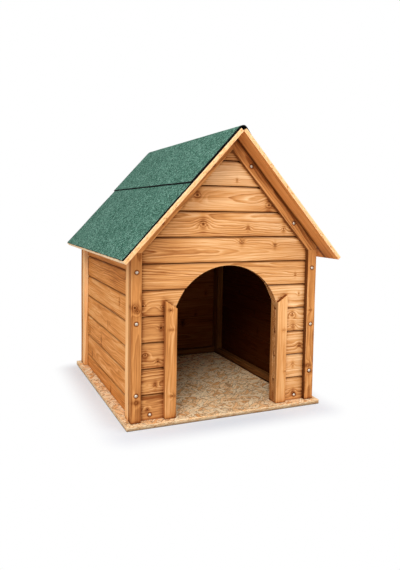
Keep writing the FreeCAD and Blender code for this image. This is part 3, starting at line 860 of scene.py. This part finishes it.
# ======== posts, rafters and battens
def foot_and_head(p):
    """The least distance from the base board and from the roof."""
    return np.clip(np.minimum(p[:, 2] - BASE_TOP, roof_height(p[:, 0]) - p[:, 2]), 0, 1)


def under_the_roof(p):
    """A rafter's upper half lies in the corner under the roof, so its shade reaches 3 times as far."""
    return np.clip((roof_height(p[:, 0]) - p[:, 2]) * math.cos(PITCH) / 3, 0, 1)


def jamb(p):
    """The side that lines the doorway is darker: painted shade."""
    return 0.35 * (np.abs(p[:, 0]) < DOOR + SKIN)


def recess_side(p):
    """Painted shade on the side of a post that looks into the recess of the wall."""
    return 0.85 * (np.abs(p[:, 0]) < POST_IN_X + SKIN)


def rafter_foot(p):
    """Painted shade on the underside of a rafter."""
    return 0.7 * (roof_height(p[:, 0]) - p[:, 2] > RAFTER_DROP - SKIN / math.cos(PITCH))


def upright(name, node, corners, y0, y1, seed, along=(0, 0, 1), across=(1, 0, 0), wood=INNER,
            slot="inner_battens", extra=(), gap=foot_and_head, **more):
    """A post, rafter or batten: timber whose outline lies in the XZ plane, from y0 to y1."""
    y0, y1 = min(y0, y1), max(y0, y1)
    solid = timber(stick(outline(corners), y0, y1, extra=extra), lambda y, x, z: (x, y, z),
                   along, across, seed, gap=gap, **more)
    piece(name, [solid], [wood], [node])


def slanted_top(x0, x1, foot):
    """Outline of an upright from x0 to x1 whose head follows the roof's underside."""
    return [(x0, foot), (x1, foot), (x1, roof_height(x1)), (x0, roof_height(x0))]


def seated(end):
    """Lowers the part of a post that carries the rafter to the rafter's seat."""
    def shape(p):
        carries = end * p[..., 1] > BOARD_Y
        return moved_to(p, np.minimum(p[..., 2], np.where(carries, SEAT_Z, p[..., 2])))
    return shape


# knots of the posts and door battens as (x, y, z, radius): seen in the photograph
POST_KNOTS = {-1: [(-0.386, -WALL_Y, 0.452, 0.0075), (-0.376, -WALL_Y, 0.437, 0.006),
                   (-0.379, -WALL_Y, 0.097, 0.006)],
              1: [(0.374, -WALL_Y, 0.165, 0.007), (0.381, -WALL_Y, 0.137, 0.006),
                  (0.377, -WALL_Y, 0.40, 0.004)]}
DOOR_KNOTS = {-1: [(-0.247, -WALL_Y, 0.435, 0.005), (-0.241, -WALL_Y, 0.36, 0.005),
                   (-0.238, -WALL_Y, 0.106, 0.0055)],
              1: [(0.251, -WALL_Y, 0.324, 0.004), (0.262, -WALL_Y, 0.15, 0.004)]}


def corner(side, side_name, end, end_name):
    """What stands or lies at one corner of the house: side -1 left, 1 right; end -1 front, 1 rear."""
    name = end_name + "_" + side_name
    number = (1 if side > 0 else 0) + (2 if end > 0 else 0)
    wall = side_name if end < 0 else "rear"
    step = end * BOARD_Y
    upright(end_name + "_corner_post_" + side_name, end_name + "_post_" + side_name,
            slanted_top(side * WALL_X, side * POST_IN_X, BASE_TOP), end * WALL_Y, end * BACK_Y,
            500 + number, wood=BATTENS, slot="stained_battens", shape=seated(end),
            extra=(step - MERGE, step + MERGE), knots=POST_KNOTS[side] if end < 0 else (),
            screws=[(side * POST_MIDDLE, end * WALL_Y, z) for z in (*POST_SCREWS[wall], TOP_SCREW[wall])],
            heart=(0.02, 0.05), taper=0.012, inner=recess_side, tone=0.08 if side > 0 else 0.24)
    upright("side_corner_post_" + name, "side_post_" + name,
            slanted_top(side * WALL_X, side * BACK_X, BASE_TOP), end * BACK_Y, end * SIDE_POST_Y,
            510 + number, wood=LIGHT_BATTENS, slot="stained_battens", heart=(0.03, 0.04), tone=-0.12)
    upright("inner_corner_batten_" + name, "corner_batten_" + name,
            slanted_top(side * BACK_X, side * CORNER_X, BASE_TOP), end * BACK_Y, end * CORNER_Y,
            520 + number)
    down_slope = (side * math.cos(PITCH), 0, -math.sin(PITCH))
    square = (side * math.sin(PITCH), 0, math.cos(PITCH))
    upright("rafter_" + name, "gable_rafter_" + name,
            [(side * RIDGE_PLAY, RIDGE_Z), (side * WALL_X, EAVE_Z), (side * WALL_X, SEAT_Z),
             (side * POST_IN_X, SEAT_Z), (side * RIDGE_PLAY, RIDGE_Z - RAFTER_DROP)],
            end * WALL_Y, end * BOARD_Y, 530 + number, down_slope, square, wood=BATTENS,
            slot="stained_battens", gap=under_the_roof, inner=rafter_foot, tone=0.05,
            screws=[(side * x, end * WALL_Y, roof_height(x) - RAFTER_DROP / 2) for x in RAFTER_SCREWS])
    top, foot = BATTEN_PLAY, CORNER_X - BATTEN_PLAY
    upright("inner_roof_batten_" + name, "roof_batten_" + name,
            [(side * top, roof_height(top)), (side * foot, roof_height(foot)),
             (side * foot, roof_height(foot) - RAFTER_DROP), (side * top, roof_height(top) - RAFTER_DROP)],
            end * BACK_Y, end * (BACK_Y - BATTEN), 540 + number, down_slope, square)


FLOOR_BATTEN_TOP = BASE_TOP + BATTEN
DOOR_HEAD = DOOR_FOOT + DOOR_DROP


def along_side(side, side_name):
    """The battens of one side of the house: by the floor, under the roof and at the doorway."""
    number = 1 if side > 0 else 0
    upright("foot_batten_" + side_name, "floor_batten_" + side_name,
            box(side * BACK_X, side * CORNER_X, BASE_TOP, FLOOR_BATTEN_TOP), -CORNER_Y, CORNER_Y,
            550 + number, (0, 1, 0))
    upright("top_plate_" + side_name, "wall_plate_" + side_name,
            slanted_top(side * BACK_X, side * CORNER_X, roof_height(BACK_X) - PLATE), -CORNER_Y, CORNER_Y,
            555 + number, (0, 1, 0))
    upright("doorway_batten_" + side_name, "door_batten_" + side_name,
            [(side * DOOR, BASE_TOP), (side * DOOR_EDGE, BASE_TOP), (side * DOOR_EDGE, DOOR_HEAD),
             (side * DOOR, DOOR_FOOT)], -WALL_Y, -WALL_Y + DOOR_BATTEN_THICK, 560 + number, wood=BATTENS,
            slot="stained_battens", knots=DOOR_KNOTS[side], heart=(0.03, 0.05), taper=0.01,
            tone=0.20 - 0.26 * number, inner=jamb)
    upright("inner_doorway_batten_" + side_name, "inner_door_batten_" + side_name,
            box(side * DOOR, side * DOOR_EDGE, BASE_TOP, DOOR_HEAD), -BACK_Y, -BACK_Y + DOOR_BATTEN_THICK,
            565 + number, wood=BATTENS, tone=0.1, inner=jamb)
    upright("front_foot_batten_" + side_name, "floor_batten_front_" + side_name,
            box(side * DOOR_EDGE, side * CORNER_X, BASE_TOP, FLOOR_BATTEN_TOP),
            -BACK_Y, -BACK_Y + BATTEN, 570 + number, (1, 0, 0), (0, 0, 1))


SIDES = ((-1, "left"), (1, "right"))
for side, side_name in SIDES:
    for end, end_name in ((-1, "front"), (1, "rear")):
        corner(side, side_name, end, end_name)
    along_side(side, side_name)
upright("rear_foot_batten", "floor_batten_rear",
        box(-CORNER_X, CORNER_X, BASE_TOP, FLOOR_BATTEN_TOP), BACK_Y, BACK_Y - BATTEN, 575,
        (1, 0, 0), (0, 0, 1))


# ======== base and roof
def on_slope(side, along, out):
    """Roof coordinates to XZ: 'along' down the slope from the ridge, 'out' square to its underside."""
    x = along * math.cos(PITCH) + out * math.sin(PITCH)
    z = RIDGE_Z - along * math.sin(PITCH) + out * math.cos(PITCH)
    return side * x, z


def sheet(loop, put, sag, shift, pitch, ease, folded=False, extra=(), cut=None):
    """A flat board or felt with its own lay: grain = (y, down the slope, out). 'gap' is the
    distance from the face of the gable wall."""
    rings = stick(loop, -VERGE_Y, VERGE_Y, ease, pitch, extra)[0]
    y, along, out = rings[..., 0], rings[..., 1], rings[..., 2]
    x, z = put(along, out)
    if cut is not None:
        y = cut(x, y)
    p = np.stack([x, y, z], -1).reshape(-1, 3)
    quads, caps = shell(rings, folded)
    grain = np.stack([y + shift, along + shift, out], -1).reshape(-1, 3)
    return {"points": p + sag(p), "quads": quads, "caps": caps, "grain": grain,
            "gap": np.abs(np.abs(p[:, 1]) - WALL_Y)}


def base_board():
    """Strand board 20 mm past the walls all round. 'damp' is exp(-z / 3 mm): painted shade,
    dark where it stands on the ground."""
    wide, deep = WALL_X + OVERHANG, WALL_Y + OVERHANG
    loop = outline(box(-wide, wide, 0, BASE_TOP), SAWN_EASE, SHEET_STEP)
    rings = stick(loop, -deep, deep, SAWN_EASE, SHEET_STEP)[0]
    p = rings[..., [1, 0, 2]].reshape(-1, 3)
    quads, caps = shell(rings)
    return {"points": p, "quads": quads, "caps": caps, "grain": p, "damp": np.exp(-p[:, 2] / 0.003)}


def cut_short(x, y):
    """The felts were cut by hand, so they stop short of the verges: 5 mm on the left slope and
    9 mm on the right, going over from one to the other near the ridge."""
    return y * (1 - (0.007 + 0.002 * np.clip(x / 0.01, -1, 1)) / VERGE_Y)


def strip_short(x, y):
    """The ridge strip stops 1 mm short of the verges on the left and 15 mm on the right."""
    return y * (1 - (0.008 + 0.007 * np.clip((x - 0.02) / 0.02, -1, 1)) / VERGE_Y)


def bare(edge, c, cut):
    """The granules stop short of the felt's cut ends, where the knife has crushed it."""
    return edge | (np.abs(c[:, 1]) > cut(c[:, 0], VERGE_Y - BARE_VERGE))


def dips(square, seed, size):
    """Felt never lies quite flat: it dips by up to 0.8 mm from its full height."""
    return lambda p: -square(p) * UNEVEN * (1 + wave(p, seed, size))[:, None]


def roof_side(side, side_name):
    """A roof panel and the felt on it. Panel faces: 0 the upper one, 1 the stained underside, 2 the
    sawn edges, 3 the eave's edge. Felt faces: 0 granules, 1 bitumen."""
    square = np.array([side * math.sin(PITCH), 0, math.cos(PITCH)])
    down = np.array([side * math.cos(PITCH), 0, -math.sin(PITCH)])

    def put(along, out):
        return on_slope(side, along, out)

    def panel_faces(n, c):
        return np.select([n @ square < -0.9, n @ down > 0.9, n @ square < 0.9], [1, 3, 2], 0)
    panel = sheet(outline(box(0, SLOPE, 0, PANEL), SAWN_EASE, SHEET_STEP), put, np.zeros_like, 3.0 + side,
                  SHEET_STEP, SAWN_EASE, extra=(-WALL_Y, WALL_Y))
    piece("roof_board_" + side_name, [panel], [STRANDS, SOFFIT, EDGE, PALE_EDGE],
          ["roof_panel_" + side_name], panel_faces)
    felt = sheet(outline(box(0.001, SLOPE - 0.003, PANEL, PANEL + FELT), FELT_EASE, FELT_STEP), put,
                 dips(lambda p: square, 77, 0.16), 0.0, FELT_STEP, FELT_EASE, extra=FELT_LINES, cut=cut_short)
    piece("felt_" + side_name, [felt], [GRANULES, TAR], ["roof_felt_" + side_name],
          lambda n, c: bare(n @ square < 0.75, c, cut_short))


def ridge_strip():
    """Felt strip folded over the ridge. q is the way over it, out the height above the panels'
    underside: down a slope it is a straight line, and over the ridge a circle about the ridge
    line, whose angle is (q / arc) times the pitch each side."""
    low, high = PANEL + FELT, PANEL + 2 * FELT
    bend = low * PITCH

    def over(q, out):
        angle = np.clip(q / bend, -1, 1) * PITCH
        run = np.maximum(np.abs(q) - bend, 0)
        side = np.where(q < 0, -1.0, 1.0)
        return (out * np.sin(angle) + side * run * math.cos(PITCH),
                RIDGE_Z + out * np.cos(angle) - run * math.sin(PITCH))

    def square(p):
        return np.stack([np.sign(p[:, 0]) * math.sin(PITCH), 0 * p[:, 0],
                         np.full(len(p), math.cos(PITCH))], 1)
    reach = STRIP_REACH + bend
    edge = reach - BARE_FOOT
    loop = outline([(-reach, low), (-edge, low), (edge, low), (reach, low),
                    (reach, high), (edge, high), (-edge, high), (-reach, high)], FELT_EASE, 0.008)
    return sheet(loop, over, dips(square, 78, 0.2), 0.0, FELT_STEP, FELT_EASE, folded=True,
                 extra=FELT_LINES, cut=strip_short)


def strip_faces(n, c):
    """Granules on the faces that look up and out, bitumen on the edges and the back."""
    up = np.maximum(np.abs(n[:, 0]) * math.sin(PITCH) + n[:, 2] * math.cos(PITCH), n[:, 2])
    foot = STRIP_REACH * math.cos(PITCH) + (PANEL + 2 * FELT) * math.sin(PITCH)
    at_foot = np.abs(c[:, 0]) > foot - BARE_FOOT * math.cos(PITCH)
    return bare((up < 0.72) | at_foot, c, strip_short)


piece("strand_base", [base_board()], [STRANDS], ["base_board"])
for side, side_name in SIDES:
    roof_side(side, side_name)
piece("ridge_felt_strip", [ridge_strip()], [GRANULES, TAR], ["ridge_felt"], strip_faces)
for node in ("front_wall_screws", "rear_wall_screws", "base_screws"):
    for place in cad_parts[node].material_slots:
        place.material = ZINC
